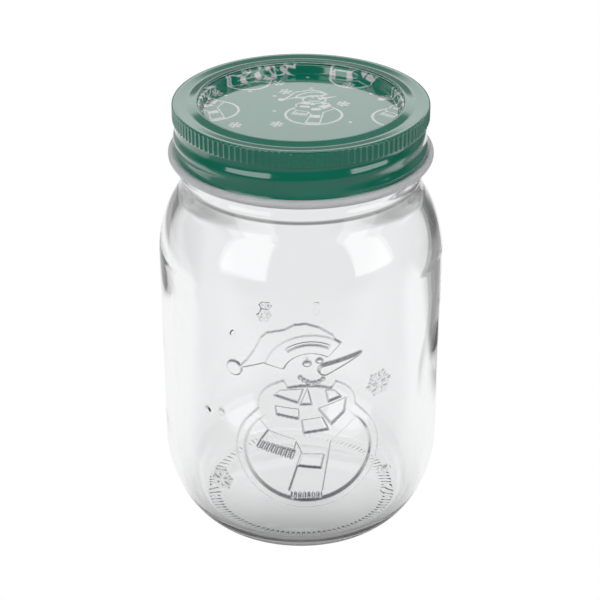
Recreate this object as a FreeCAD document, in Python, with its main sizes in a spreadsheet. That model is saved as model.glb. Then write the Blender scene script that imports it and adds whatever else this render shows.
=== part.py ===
"""Lidded glass mason jar: a blown jar closed by a lid disc, its sealing ring and a screw band.

Millimetres, +Z up, origin at the middle of the foot. Every sub-part is a turned profile about Z.
"""
import FreeCAD, Part
import math
import os
import Sketcher

# Driving dimensions, each with its meaning.
SIZES = {
    "body_radius": (41.0, "outside of the straight glass wall, and of the heel and shoulder rounds"),
    "wall": (3.1, "glass of the straight wall"),
    "recess": (1.5, "depth of the recess under the base"),
    "base_thickness": (4.5, "glass above the recess"),
    "foot_inset": (11.0, "from the straight wall in to the ring that the jar stands on"),
    "foot_width": (4.5, "width of the ring that the jar stands on"),
    "heel_cut": (5.0, "height of the slope between the foot and the heel round"),
    "heel_height": (25.4, "height where the heel round meets the straight wall"),
    "inner_heel": (12.0, "slope between the floor and the inside wall"),
    "inner_shoulder": (3.0, "start of the inside slope above the start of the shoulder round"),
    "neck_length": (8.2, "height of the plain neck below the finish"),
    "neck_step": (1.1, "step in from the neck to the finish"),
    "step_height": (1.0, "height of that step"),
    "finish_height": (15.9, "finish that the screw band goes over, from the neck to the rim"),
    "finish_wall": (3.8, "glass of the finish"),
    "rim_height": (129.45, "top of the glass rim"),
    "mouth_radius": (29.6, "bore of the mouth"),
    "seat_clearance": (0.05, "gap where one piece seats on the next"),
    "seal_thickness": (0.9, "height of the sealing ring"),
    "seal_inset": (0.6, "from the bore of the mouth out to the sealing ring"),
    "seal_side": (0.2, "gap between the sealing ring and the lip of the disc"),
    "disc_sheet": (0.3, "sheet of the lid disc"),
    "disc_overhang": (0.4, "reach of the lid disc past the finish"),
    "lip_gap": (0.25, "gap between the glass rim and the turned-down lip of the disc"),
    "panel_room": (1.9, "gap between the sunk panel of the disc and the bore of the mouth"),
    "panel_depth": (2.95, "drop from the ring of the disc to its panel"),
    "band_sheet": (0.35, "sheet of the screw band"),
    "ring_show": (1.4, "width of the disc's ring that shows inside the flange"),
    "thread_room": (1.75, "gap between the finish and the band, which the screw thread takes up"),
    "corner": (0.8, "slope from the flange to the knurled belt"),
    "belt_step": (0.55, "step out from the skirt to the knurled belt"),
    "belt_drop": (4.8, "bottom of the knurled belt below the top of the band"),
    "band_gap": (1.55, "bottom of the band above the top of the plain neck"),
    "curl_reach": (2.0, "reach of the rolled bottom edge past the skirt"),
    "curl_height": (2.4, "height of the rolled bottom edge"),
    "curl_slope": (0.8, "height of the slope on top of the rolled edge"),
    "flute_count": (126, "flutes round the belt"),
    "flute_depth": (0.35, "depth of a flute"),
    "flute_width": (1.55, "width of a flute across the crests"),
    "flute_end": (0.4, "plain belt between the flutes and the corner"),
}

# Places that follow from the driving dimensions, each a sum of sizes and other places.
PLACES = {
    "foot_outer": "body_radius - foot_inset",
    "foot_inner": "foot_outer - foot_width",
    "floor": "recess + base_thickness",
    "inner_wall": "body_radius - wall",
    "finish_radius": "mouth_radius + finish_wall",
    "neck_radius": "finish_radius + neck_step",
    "neck_top": "rim_height - finish_height",
    "neck_base": "neck_top - neck_length",
    "seal_low": "rim_height + seat_clearance",
    "seal_high": "seal_low + seal_thickness",
    "seal_inner": "mouth_radius + seal_inset",
    "seal_outer": "lip_inner - seal_side",
    "disc_radius": "finish_radius + disc_overhang",
    "lip_inner": "disc_radius - disc_sheet",
    "lip_low": "rim_height + lip_gap",
    "ring_top": "seal_high + disc_sheet",
    "panel_outer": "mouth_radius - panel_room",
    "panel_inner": "panel_outer - disc_sheet",
    "panel_top": "ring_top - panel_depth",
    "panel_low": "panel_top - disc_sheet",
    "flange_low": "ring_top + seat_clearance",
    "band_top": "flange_low + band_sheet",
    "flange_hole": "panel_inner + ring_show",
    "band_inner": "finish_radius + thread_room",
    "skirt_radius": "band_inner + band_sheet",
    "belt_radius": "skirt_radius + belt_step",
    "belt_low": "band_top - belt_drop",
    "band_low": "neck_top + band_gap",
    "curl_radius": "skirt_radius + curl_reach",
    "curl_high": "band_low + curl_height",
}


def amount(text):
    """The number that a sum of sizes and places comes to."""
    total = 0.0
    sign = 1
    for word in text.split():
        if word in ("+", "-"):
            sign = 1 if word == "+" else -1
        else:
            total += sign * (amount(PLACES[word]) if word in PLACES else SIZES[word][0])
    return total


def cells(text):
    """The same sum as an expression on the sheet's cells."""
    words = []
    for word in text.split():
        if word in PLACES:
            words.append(f"( {cells(PLACES[word])} )")
        else:
            words.append(f"Sizes.{word}" if word in SIZES else word)
    return " ".join(words)


def make_sheet(doc):
    """Put every driving dimension into a spreadsheet cell with an alias."""
    sheet = doc.addObject("Spreadsheet::Sheet", "Sizes")
    for row, (name, (value, meaning)) in enumerate(SIZES.items(), start=1):
        sheet.set(f"A{row}", str(value))
        sheet.setAlias(f"A{row}", name)
        sheet.set(f"B{row}", meaning)
    doc.recompute()


class Outline:
    """A closed chain of lines and arcs in one sketch.

    Each point is two sums, which hold it in place. None puts it on the axis there, and a plain
    number is a first guess that the tangents and the arc's centre on the axis settle.
    """

    ORIGIN = (-1, 1)
    AXES = {"X": -2, "Y": -1}
    CENTRE = 3

    def __init__(self, sketch, x, y):
        self.sketch = sketch
        self.first = (x, y)
        self.here = self.spot(x, y)
        self.pieces = []

    def spot(self, *sums):
        """The point's numbers."""
        return tuple(amount(item) if isinstance(item, str) else item or 0.0 for item in sums)

    def line(self, x, y, smooth=False):
        """Draw a line on to a point; smooth says that it leaves the last piece in tangent."""
        there = self.spot(x, y)
        ends = (FreeCAD.Vector(*self.here, 0), FreeCAD.Vector(*there, 0))
        index = self.sketch.addGeometry(Part.LineSegment(*ends))
        self.join(index, (x, y), there, smooth)

    def arc(self, x, y, height, smooth=False):
        """Draw an arc about a point of the axis, near that height, anticlockwise on to a point."""
        there = self.spot(x, y)
        centre = FreeCAD.Vector(0, height, 0)
        circle = Part.Circle(centre, FreeCAD.Vector(0, 0, 1), math.dist(there, (0, height)))
        angles = [math.atan2(end[1] - height, end[0]) for end in (self.here, there)]
        index = self.sketch.addGeometry(Part.ArcOfCircle(circle, *angles))
        on_axis = Sketcher.Constraint("PointOnObject", index, self.CENTRE, self.AXES["X"])
        self.sketch.addConstraint(on_axis)
        self.join(index, (x, y), there, smooth)

    def join(self, index, sums, there, smooth):
        """Join a piece to the last one and hold its end."""
        if self.pieces:
            kind = "Tangent" if smooth else "Coincident"
            self.sketch.addConstraint(Sketcher.Constraint(kind, self.pieces[-1], 2, index, 1))
        self.pieces.append(index)
        self.hold((index, 2), sums)
        self.here = there

    def close(self):
        """Draw the last line, back to the first point."""
        self.line(*self.first)
        ends = (self.pieces[-1], 2, self.pieces[0], 1)
        self.sketch.addConstraint(Sketcher.Constraint("Coincident", *ends))

    def hold(self, end, sums):
        """Tie a point to the sheet or to an axis."""
        for direction, text in zip("XY", sums):
            if text is None:
                kept = Sketcher.Constraint("PointOnObject", *end, self.AXES[direction])
                self.sketch.addConstraint(kept)
            elif isinstance(text, str):
                kind = f"Distance{direction}"
                kept = Sketcher.Constraint(kind, *self.ORIGIN, *end, amount(text))
                number = self.sketch.addConstraint(kept)
                self.sketch.setExpression(f"Constraints[{number}]", cells(text))


def origin_plane(body, role):
    """Find one of a body's own origin planes."""
    return next(item for item in body.Origin.OriginFeatures if item.Role == role)


def new_body(doc, name):
    """Start a sub-part with its profile sketch on the XZ plane."""
    body = doc.addObject("PartDesign::Body", name)
    body.Label = name
    body.Placement = FreeCAD.Placement()
    return body, new_sketch(body, f"{name}_profile", "XZ_Plane")


def new_sketch(body, name, role):
    sketch = body.newObject("Sketcher::SketchObject", name)
    sketch.AttachmentSupport = [(origin_plane(body, role), "")]
    sketch.MapMode = "FlatFace"
    return sketch


def turn(body, sketch):
    """Turn a profile once about Z."""
    turned = body.newObject("PartDesign::Revolution", f"{body.Name}_turned")
    turned.Profile = sketch
    turned.ReferenceAxis = (sketch, ["V_Axis"])
    turned.Angle = 360.0
    return turned


def other_side(long_side, side):
    """The second short side of a right triangle."""
    return math.sqrt(long_side ** 2 - side ** 2)


def make_glass_jar(doc):
    """The jar: recess, foot, round heel, straight wall, round shoulder, neck, finish and inside."""
    body, sketch = new_body(doc, "glass_jar")
    reach = amount("body_radius")
    heel_edge = other_side(reach, amount("heel_height - heel_cut"))
    shoulder = amount("neck_base") - other_side(reach, amount("neck_radius"))
    path = Outline(sketch, None, "recess")
    path.line("foot_inner", "recess")
    path.line("foot_inner", None)
    path.line("foot_outer", None)
    path.line(heel_edge, "heel_cut")
    path.arc("body_radius", "heel_height", amount("heel_height"))
    path.line("body_radius", shoulder, smooth=True)
    wall = path.pieces[-1]
    path.arc("neck_radius", "neck_base", shoulder, smooth=True)
    path.line("neck_radius", "neck_top")
    path.line("finish_radius", "neck_top + step_height")
    path.line("finish_radius", "rim_height")
    path.line("mouth_radius", "rim_height")
    path.line("mouth_radius", "neck_base")
    path.line("inner_wall", shoulder + amount("inner_shoulder"))
    inside = (path.pieces[-1], 2)
    path.line("inner_wall", "floor + inner_heel")
    path.line("inner_wall - inner_heel", "floor")
    path.line(None, "floor")
    path.close()
    start = Sketcher.Constraint("DistanceY", wall, 2, *inside, amount("inner_shoulder"))
    number = sketch.addConstraint(start)
    sketch.setExpression(f"Constraints[{number}]", cells("inner_shoulder"))
    turn(body, sketch)
    return body


def make_lid_disc(doc):
    """The lid disc: sunk panel, step, flat ring and turned-down lip, all of one sheet."""
    body, sketch = new_body(doc, "lid_disc")
    path = Outline(sketch, None, "panel_top")
    path.line(None, "panel_low")
    path.line("panel_outer", "panel_low")
    path.line("panel_outer", "seal_high")
    path.line("lip_inner", "seal_high")
    path.line("lip_inner", "lip_low")
    path.line("disc_radius", "lip_low")
    path.line("disc_radius", "ring_top")
    path.line("panel_inner", "ring_top")
    path.line("panel_inner", "panel_top")
    path.close()
    turn(body, sketch)
    return body


def make_sealing_ring(doc):
    """The soft ring under the disc, inside its lip, that lies on the glass rim."""
    body, sketch = new_body(doc, "sealing_ring")
    path = Outline(sketch, "seal_inner", "seal_low")
    path.line("seal_outer", "seal_low")
    path.line("seal_outer", "seal_high")
    path.line("seal_inner", "seal_high")
    path.close()
    turn(body, sketch)
    return body


def turn_band(body, sketch):
    """The plain screw band: flange, belt, skirt and rolled bottom edge."""
    path = Outline(sketch, "flange_hole", "flange_low")
    path.line("band_inner", "flange_low")
    path.line("band_inner", "band_low")
    path.line("curl_radius", "band_low")
    path.line("curl_radius", "curl_high - curl_slope")
    path.line("skirt_radius", "curl_high")
    path.line("skirt_radius", "belt_low")
    path.line("belt_radius", "belt_low")
    path.line("belt_radius", "band_top - corner")
    path.line("belt_radius - corner", "band_top")
    path.line("flange_hole", "band_top")
    path.close()
    return turn(body, sketch)


def make_screw_band(doc):
    """Turn the band, then cut one flute up its belt to just below the corner and repeat it round."""
    body, sketch = new_body(doc, "screw_band")
    turned = turn_band(body, sketch)
    flute = new_sketch(body, "flute_profile", "XY_Plane")
    flute.setExpression("AttachmentOffset.Base.z", cells("belt_low"))
    path = Outline(flute, "belt_radius - flute_depth", None)
    path.line("belt_radius + flute_depth", "- flute_width")
    path.line("belt_radius + flute_depth", "flute_width")
    path.close()
    doc.recompute()
    cut = body.newObject("PartDesign::Pocket", "flute")
    cut.Profile = flute
    cut.Reversed = True
    cut.setExpression("Length", cells("belt_drop - corner - flute_end"))
    doc.recompute()
    if not cut.Shape.Volume < turned.Shape.Volume:
        raise RuntimeError("the flute cuts nothing")
    flutes = body.newObject("PartDesign::PolarPattern", "flutes")
    flutes.Originals = [cut]
    flutes.Axis = (flute, ["N_Axis"])
    flutes.Angle = 360.0
    flutes.setExpression("Occurrences", cells("flute_count"))
    body.Tip = flutes
    return body


def check(doc, bodies):
    """Stop if any object failed or any sub-part isn't one valid solid."""
    for item in doc.Objects:
        if {"Invalid", "Error"} & set(item.State):
            raise RuntimeError(f"{item.Name} failed: {item.State}")
        if item.isDerivedFrom("Sketcher::SketchObject") and not item.FullyConstrained:
            raise RuntimeError(f"{item.Name} isn't fully constrained")
    for body in bodies:
        if body.Shape.isNull() or not body.Shape.isValid() or len(body.Shape.Solids) != 1:
            raise RuntimeError(f"{body.Label} isn't one valid solid")


def main():
    doc = FreeCAD.newDocument("mason_jar")
    make_sheet(doc)
    makers = (make_glass_jar, make_lid_disc, make_sealing_ring, make_screw_band)
    bodies = [make(doc) for make in makers]
    doc.recompute()
    check(doc, bodies)
    os.makedirs("parts", exist_ok=True)
    for body in bodies:
        body.Shape.exportStep(f"parts/{body.Label}.step")
        box = body.Shape.BoundBox
        print(f"{body.Label}: {body.Shape.Volume:.1f} mm3, z {box.ZMin:.2f} to {box.ZMax:.2f}")


main()
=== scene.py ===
"""Looks of a lidded glass jar: a clear wall with a raised snowman, a printed lid disc and a green screw band.

Lengths are millimetres while a piece is being shaped, and metres from the mesh on.
The jar stands on z = 0 round the Z axis, and its raised picture faces -Y.
"""
import math
from types import SimpleNamespace

import bpy
import numpy as np
from bpy.props import FloatProperty, FloatVectorProperty, IntProperty, PointerProperty
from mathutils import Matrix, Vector


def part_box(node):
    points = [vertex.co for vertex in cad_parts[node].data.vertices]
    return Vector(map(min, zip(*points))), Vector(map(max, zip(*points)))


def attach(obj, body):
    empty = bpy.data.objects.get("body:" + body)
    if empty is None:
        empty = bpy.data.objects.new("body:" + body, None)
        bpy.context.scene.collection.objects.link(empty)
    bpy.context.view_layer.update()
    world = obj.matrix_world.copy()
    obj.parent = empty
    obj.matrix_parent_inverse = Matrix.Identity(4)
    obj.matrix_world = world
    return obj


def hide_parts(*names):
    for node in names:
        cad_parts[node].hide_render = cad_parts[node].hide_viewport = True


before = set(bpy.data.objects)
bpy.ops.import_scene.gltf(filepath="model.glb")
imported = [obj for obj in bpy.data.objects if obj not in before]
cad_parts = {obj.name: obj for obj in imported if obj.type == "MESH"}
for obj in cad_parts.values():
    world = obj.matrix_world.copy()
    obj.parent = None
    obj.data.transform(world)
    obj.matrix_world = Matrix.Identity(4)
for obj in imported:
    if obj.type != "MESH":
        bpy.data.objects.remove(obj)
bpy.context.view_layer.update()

bl_info = {
    "name": "Lidded jar",
    "version": (1, 0, 0),
    "blender": (4, 5, 0),
    "location": "View3D > Sidebar > Lidded jar",
    "description": "Builds a glass jar with a raised snowman, its printed lid and its screw band",
    "category": "Object",
}

MM = 0.001

# A cell of a woven mesh can be cut into this many parts each way, or into a divisor of it
FINEST = 12

# Where a cell is probed, as parts of its width from its middle, and the least change that makes it a busy one
PROBES = (np.arange(5) - 2) / 4
BUSY = 0.01


# Sizes and colours that a user would change

def top_of(node):
    """Outer radius and top of a turned CAD node, in millimetres."""
    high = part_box(node)[1]
    return high.x / MM, high.z / MM


JAR_RADIUS, JAR_TOP = top_of("glass_jar")
DISC_RADIUS = top_of("lid_disc")[0]
SEAL_RADIUS = top_of("sealing_ring")[0]
BAND_RADIUS, BAND_TOP = top_of("screw_band")
BAND_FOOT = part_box("screw_band")[0].z / MM
DISC_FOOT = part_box("lid_disc")[0].z / MM


def length(name, millimetres, description):
    """A length property, given in millimetres and kept in metres."""
    return FloatProperty(name=name, description=description, default=millimetres * MM, unit="LENGTH")


def colour(name, value, description):
    """A colour property."""
    return FloatVectorProperty(name=name, description=description, default=value, size=3, min=0.0, max=1.0,
                               subtype="COLOR")


def amount(name, value, description):
    """A plain number property."""
    return FloatProperty(name=name, description=description, default=value)


def angle(name, degrees, description):
    """An angle property, given in degrees and kept in radians."""
    return FloatProperty(name=name, description=description, default=math.radians(degrees), subtype="ANGLE")


class JarSizes(bpy.types.PropertyGroup):
    """Sizes of the glass."""
    push_up: length("Push-up", 1.5, "Rise of the base above the foot")
    foot_inner: length("Foot inside", 25.5, "Inner radius of the ring that the jar stands on")
    foot_outer: length("Foot outside", 28.68, "Radius where the foot turns into the heel")
    heel_top: length("Heel top", 23.3, "Height where the heel meets the straight wall")
    wall_top: length("Wall top", 86.3, "Height where the straight wall meets the shoulder")
    shoulder_rise: length("Shoulder rise", 20.7, "Height of the shoulder curve")
    shoulder_base: length("Shoulder middle", 30.67, "Radius that the shoulder curve is drawn about")
    neck: length("Neck", 34.2, "Radius of the neck below the finish")
    neck_low: length("Neck low", 108.6, "Height where the shoulder has turned into the neck")
    neck_high: length("Neck high", 113.0, "Height where the neck starts to turn in to the finish")
    bead: length("Bead", 34.5, "Radius of the raised bead on the neck")
    bead_low: length("Bead low", 109.3, "Height of the lower edge of the bead")
    bead_high: length("Bead high", 111.6, "Height of the upper edge of the bead")
    finish: length("Finish", 33.4, "Radius of the threaded finish")
    finish_low: length("Finish low", 114.3, "Height where the finish starts")
    mouth: length("Mouth", 29.6, "Radius of the mouth")
    rim_round: length("Rim round", 1.2, "Rounding of the rim")
    bore_low: length("Bore low", 110.1, "Height where the bore starts to turn out to the inner shoulder")
    bore_corner: length("Bore corner", 105.5, "Height of the corner that the turn of the bore rounds off")
    inner_top: length("Inner top", 101.9, "Height where the bore meets the inner shoulder")
    inner_top_radius: length("Inner top radius", 32.4, "Radius where the bore meets the inner shoulder")
    inner_base: length("Inner shoulder middle", 26.5, "Radius that the inner shoulder curve is drawn about")
    inner_rise: length("Inner shoulder rise", 19.8, "Height of the inner shoulder curve")
    inner_wall: length("Inner wall", 37.9, "Radius inside the straight wall")
    inner_heel: length("Inner heel", 23.3, "Height where the inner wall turns in to the floor")
    floor: length("Floor", 3.6, "Height of the inner floor at its edge")
    floor_crown: length("Floor crown", 0.6, "Rise of the inner floor to its middle")
    floor_radius: length("Floor radius", 28.0, "Radius of the flat of the inner floor")
    stipple_depth: length("Stipple depth", 0.45, "Depth between the bars under the base")
    thread_height: length("Thread height", 0.85, "Height of the glass thread")


class LidSizes(bpy.types.PropertyGroup):
    """Sizes of the printed disc and its sealing ring."""
    panel: length("Panel", 27.4, "Radius of the sunk panel")
    sheet: length("Sheet", 0.3, "Thickness of the sheet")
    lip_low: length("Lip low", 129.7, "Height of the lip's lower edge")
    ring_inner: length("Ring inside", 28.3, "Radius where the step meets the ring")
    ring: length("Ring", 130.2, "Height of the ring above the step")
    seal_inner: length("Seal inside", 30.2, "Inner radius of the sealing ring")
    seal_low: length("Seal low", 129.5, "Height of the face that lies on the glass rim")
    print_scale: amount("Print scale", 0.43, "Size of a printed snowman beside the raised one")


class BandSizes(bpy.types.PropertyGroup):
    """Sizes of the screw band."""
    hole: length("Hole", 28.8, "Radius of the hole in the flange")
    valley: length("Valley", 32.0, "Radius of the lowest line of the flange")
    valley_height: length("Valley height", 130.6, "Height of the lowest line of the flange")
    corner: length("Corner", 130.85, "Height of the corner between the flange and the ribs")
    sheet: length("Sheet", 0.35, "Thickness of the sheet")
    belt: length("Belt", 36.05, "Radius over the ribs")
    belt_low: length("Belt low", 126.5, "Height of the lower edge of the ribs")
    skirt: length("Skirt", 35.3, "Radius of the skirt below the ribs")
    skirt_low: length("Skirt low", 118.0, "Height where the skirt starts above the curl")
    bulge: length("Bulge", 0.6, "How far the rolled thread stands out")
    curl: length("Curl", 1.22, "Radius of the rolled bottom edge")
    curl_drop: length("Curl drop", 0.5, "How far the curl hangs below the solid one")
    flute_depth: length("Flute depth", 0.3, "Depth between two ribs")
    flutes: IntProperty(name="Flutes", description="Hollows between the ribs", default=126, min=12)
    pitch: length("Thread pitch", 5.08, "Rise of the thread in one turn")
    thread_low: length("Thread low", 117.4, "Height where the thread starts")
    thread_start: angle("Thread start", 12.0, "Turn from the front where the thread starts")


class Finishes(bpy.types.PropertyGroup):
    """Colours of the finishes, and of the shade painted on the glass's flanks."""
    green: colour("Green", (0.0, 0.250, 0.155), "Lacquer of the band and the disc")
    ink: colour("Ink", (0.86, 0.87, 0.87), "Print on the disc")
    pale_coat: colour("Pale coat", (0.96, 0.96, 0.99), "Inside of the band and its curl")
    compound: colour("Compound", (0.36, 0.30, 0.22), "Sealing ring")
    glass: colour("Glass", (0.985, 0.988, 0.992), "Tint of the glass")
    # Painted shade: the flank colour darkens the glass on the steep flanks of the raised picture, standing in
    # for the dark seen through them; it is no tint of the glass
    flank: colour("Flank", (0.10, 0.10, 0.11), "Tint of the glass on the steep flanks of its raised picture")


class StageSettings(bpy.types.PropertyGroup):
    """Camera, floor and light."""
    eye_back: length("Eye back", 464.5, "Distance of the camera in front of the jar")
    eye_height: length("Eye height", 321.8, "Height of the camera")
    aim_height: length("Aim height", 67.26, "Height of the point that the camera looks at")
    lens: FloatProperty(name="Lens", description="Focal length", default=107.56, unit="CAMERA")
    frame_shift: amount("Frame shift", -0.0015, "Sideways shift of the picture, in widths")
    floor_radius: length("Floor radius", 700.0, "Radius of the white floor")
    floor_behind: amount("Floor behind", 0.93, "Light of the floor behind the jar")
    floor_front: amount("Floor in front", 0.30, "Light of the floor in front of the jar")
    floor_under: amount("Floor under", 0.98, "Share of that light close under the jar")
    floor_far: amount("Floor far", 0.45, "Share of that light far from the jar")
    ambient: amount("Ambient", 0.05, "Light from the dim room")
    backdrop: amount("Backdrop", 0.22, "Light of the wall behind the jar")
    strip: amount("Strip", 1.22, "Light of the long strip behind the jar")
    top_light: amount("Top light", 2.5, "Light of the lamp above the wall")
    softbox: amount("Softbox", 2.05, "Light of the two softboxes")
    card: amount("Card", 0.35, "Share of the floor's light on the dark card at the right")


SETTINGS = {
    "lidded_jar_glass": JarSizes,
    "lidded_jar_lid": LidSizes,
    "lidded_jar_band": BandSizes,
    "lidded_jar_finish": Finishes,
    "lidded_jar_stage": StageSettings,
}


def sizes(key):
    """A group of settings with its lengths in millimetres."""
    group = getattr(bpy.context.scene, key)
    values = {}
    for name in group.__annotations__:
        value = getattr(group, name)
        is_length = group.bl_rna.properties[name].unit == "LENGTH"
        values[name] = value / MM if is_length else value
    return SimpleNamespace(**values)


# Drawing a section and turning it

class Outline:
    """A section of a turned piece, drawn as radius and height with the material on the left."""

    def __init__(self, radius, height):
        self.points = [(radius, height)]
        self.marks = {}

    def mark(self, name):
        """Name the row that the outline has reached."""
        self.marks[name] = len(self.points) - 1

    def line(self, radius, height, step=2.0):
        """A straight run, in pieces no longer than step."""
        start = np.array(self.points[-1])
        run = np.array((radius, height)) - start
        count = max(1, math.ceil(np.hypot(*run) / step - 1e-6))
        for part in range(1, count + 1):
            self.points.append(tuple(start + run * part / count))

    def bend(self, corner, end, count=6):
        """A rounded corner that leaves towards corner and arrives at end."""
        start, corner, end = np.array(self.points[-1]), np.array(corner), np.array(end)
        for part in range(1, count + 1):
            t = part / count
            self.points.append(tuple((1 - t) ** 2 * start + 2 * t * (1 - t) * corner + t ** 2 * end))

    def quarter(self, centre, reach, power, turns, count):
        """Part of a superellipse about centre, between two turns in degrees above the level."""
        for turn in np.radians(np.linspace(*turns, count + 1))[1:]:
            across = math.copysign(abs(math.cos(turn)) ** power, math.cos(turn))
            up = math.copysign(abs(math.sin(turn)) ** power, math.sin(turn))
            self.points.append((centre[0] + reach[0] * across, centre[1] + reach[1] * up))

    def along(self):
        """Length of the outline from its start to each point."""
        steps = np.diff(np.array(self.points), axis=0)
        return np.concatenate([[0.0], np.cumsum(np.hypot(steps[:, 0], steps[:, 1]))])


def section_normals(section, closed):
    """Directions that point out of the material at each point of a section."""
    if closed:
        tangents = np.roll(section, -1, axis=0) - np.roll(section, 1, axis=0)
    else:
        tangents = np.gradient(section, axis=0)
    tangents = tangents / np.hypot(tangents[:, 0], tangents[:, 1])[:, None]
    return np.column_stack([tangents[:, 1], -tangents[:, 0]])


def weave_faces(used, index, splits, poles):
    """Faces of a grid whose cells may be split, where a face takes in the points of a finer neighbour."""
    high, wide = used.shape
    level = np.cumsum(used, axis=1)
    upright = np.cumsum(used, axis=0)
    faces, face_rows = [], []
    for across, down in np.unique(splits.reshape(-1, 2), axis=0):
        row, column = np.nonzero((splits[..., 0] == across) & (splits[..., 1] == down))
        for q, p in np.ndindex(int(down), int(across)):
            low = row * FINEST + q * FINEST // down
            top = low + FINEST // down
            left = column * FINEST + p * FINEST // across
            right = left + FINEST // across
            top_row, right_column = top % high, right % wide
            extra = (level[low, right - 1] - level[low, left]
                     + level[top_row, right - 1] - level[top_row, left]
                     + upright[top - 1, left] - upright[low, left]
                     + upright[top - 1, right_column] - upright[low, right_column])
            plain = (extra == 0) & ~np.isin(row, poles)
            quads = np.column_stack([index[low, left], index[low, right_column],
                                     index[top_row, right_column], index[top_row, left]])
            faces += quads[plain].tolist()
            face_rows += row[plain].tolist()
            for one in np.flatnonzero(~plain):
                faces.append(face_round(index, low[one], top[one], left[one], right[one]))
                face_rows.append(row[one])
    return faces, face_rows


def face_round(index, low, top, left, right):
    """Every grid point round one face, each once."""
    high, wide = index.shape
    walk = [(low, side) for side in range(left, right)]
    walk += [(level, right) for level in range(low, top)]
    walk += [(top, side) for side in range(right, left, -1)]
    walk += [(level, left) for level in range(top, low, -1)]
    corners = [int(index[level % high, side % wide]) for level, side in walk]
    return list(dict.fromkeys(corner for corner in corners if corner >= 0))


def used_points(section, splits, closed):
    """Which points of the finest grid are used, and the rows of cells that end in a pole."""
    rows, columns = splits.shape[:2]
    high, wide = rows * FINEST + (0 if closed else 1), columns * FINEST
    used = np.zeros((high, wide), bool)
    for row, column in np.ndindex(rows, columns):
        across, down = splits[row, column]
        levels = (row * FINEST + np.arange(0, FINEST + 1, FINEST // down)) % high
        sides = (column * FINEST + np.arange(0, FINEST + 1, FINEST // across)) % wide
        used[np.ix_(levels, sides)] = True
    poles = []
    for end in (0, high - 1):
        if not closed and section[end // FINEST, 0] < 1e-6:
            poles.append(min(end // FINEST, rows - 1))
            used[end, 1:] = False
    return used, poles


def number_points(used):
    """The number of each used point. The whole row of a pole has the number of its one point."""
    index = np.full(used.shape, -1)
    index[used] = np.arange(used.sum())
    for end in (0, -1):
        if not used[end, 1:].any():
            index[end] = index[end, 0]
    return index


def turned_places(section, turn, row, swell, closed):
    """Where the points of a turned section lie, in millimetres, once swell has lifted them."""
    normals = section_normals(section, closed)
    if closed:
        section, normals = np.vstack([section, section[:1]]), np.vstack([normals, normals[:1]])
    count = np.arange(len(section))
    radius, height = (np.interp(row, count, section[:, axis]) for axis in (0, 1))
    if swell:
        lift = swell(turn, row, height)
        radius = radius + lift * np.interp(row, count, normals[:, 0])
        height = height + lift * np.interp(row, count, normals[:, 1])
    return np.column_stack([radius * np.sin(turn), -radius * np.cos(turn), height])


def weave(name, outline, columns, split=None, swell=None, closed=False):
    """Turn an outline into a mesh.

    split(splits) sets how finely each cell is cut, and swell(turn, row, height) lifts the surface.
    Returns the mesh, the row of each face, and the turn and row of each vertex.
    """
    section = np.array(outline.points)
    splits = np.ones((len(section) - (0 if closed else 1), columns, 2), int)
    if split:
        split(splits)
    used, poles = used_points(section, splits, closed)
    faces, face_rows = weave_faces(used, number_points(used), splits, poles)
    levels, sides = np.nonzero(used)
    turn, row = sides / used.shape[1] * math.tau, levels / FINEST
    places = turned_places(section, turn, row, swell, closed) * MM
    mesh = bpy.data.meshes.new(name)
    mesh.from_pydata(places.tolist(), [], faces)
    mesh.polygons.foreach_set("use_smooth", np.ones(len(faces), bool))
    mesh.update()
    return mesh, np.array(face_rows), turn, row


def signed(turn):
    """Turns from -pi to pi, with 0 at the front."""
    return (turn + math.pi) % math.tau - math.pi


def add_piece(name, mesh, body, node, materials):
    """Put a mesh in the scene as a piece that stands for a CAD node and moves with its body."""
    piece = bpy.data.objects.new(name, mesh)
    bpy.context.scene.collection.objects.link(piece)
    for material in materials:
        mesh.materials.append(material)
    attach(piece, body)
    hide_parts(node)


# Distances to drawn shapes, negative inside

def smooth(value, low, high):
    """0 below low, 1 above high and an even ease between."""
    t = np.clip((value - low) / (high - low), 0.0, 1.0)
    return t * t * (3 - 2 * t)


def oval(x, y, centre, reach):
    """Distance to an ellipse."""
    across, up = (x - centre[0]) / reach[0], (y - centre[1]) / reach[1]
    k = np.hypot(across, up)
    slope = np.hypot(across / reach[0], up / reach[1])
    return k * (k - 1) / np.maximum(slope, 1e-6)


def bar(x, y, start, end, start_radius, end_radius=None):
    """Distance to a round-ended bar, tapered if it has an end radius."""
    end_radius = start_radius if end_radius is None else end_radius
    run = np.subtract(end, start)
    t = np.clip(((x - start[0]) * run[0] + (y - start[1]) * run[1]) / (run @ run), 0.0, 1.0)
    radius = start_radius + (end_radius - start_radius) * t
    return np.hypot(x - start[0] - run[0] * t, y - start[1] - run[1] * t) - radius


def patch(x, y, corners):
    """Distance to a straight-sided shape."""
    corners = np.array(corners)
    nearest = np.full(x.shape, np.inf)
    inside = np.zeros(x.shape, bool)
    for start, end in zip(corners, np.roll(corners, -1, axis=0)):
        nearest = np.minimum(nearest, bar(x, y, start, end, 0.0))
        crosses = (start[1] > y) != (end[1] > y)
        if start[1] != end[1]:
            at = start[0] + (y - start[1]) / (end[1] - start[1]) * (end[0] - start[0])
            inside ^= crosses & (x < at)
    return np.where(inside, -nearest, nearest)


def hoop(x, y, centre, radius, half_width, turns):
    """Distance to a stretch of a ring between two turns in degrees from straight up."""
    low, high = np.radians(turns)
    middle, half = (low + high) / 2, (high - low) / 2
    turn = signed(np.arctan2(x - centre[0], y - centre[1]) - middle)
    ring = np.abs(np.hypot(x - centre[0], y - centre[1]) - radius) - half_width
    return np.maximum(ring, (np.abs(turn) - half) * radius)


def join(*distances):
    """Distance to several shapes taken as one."""
    return np.minimum.reduce(distances)


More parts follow.
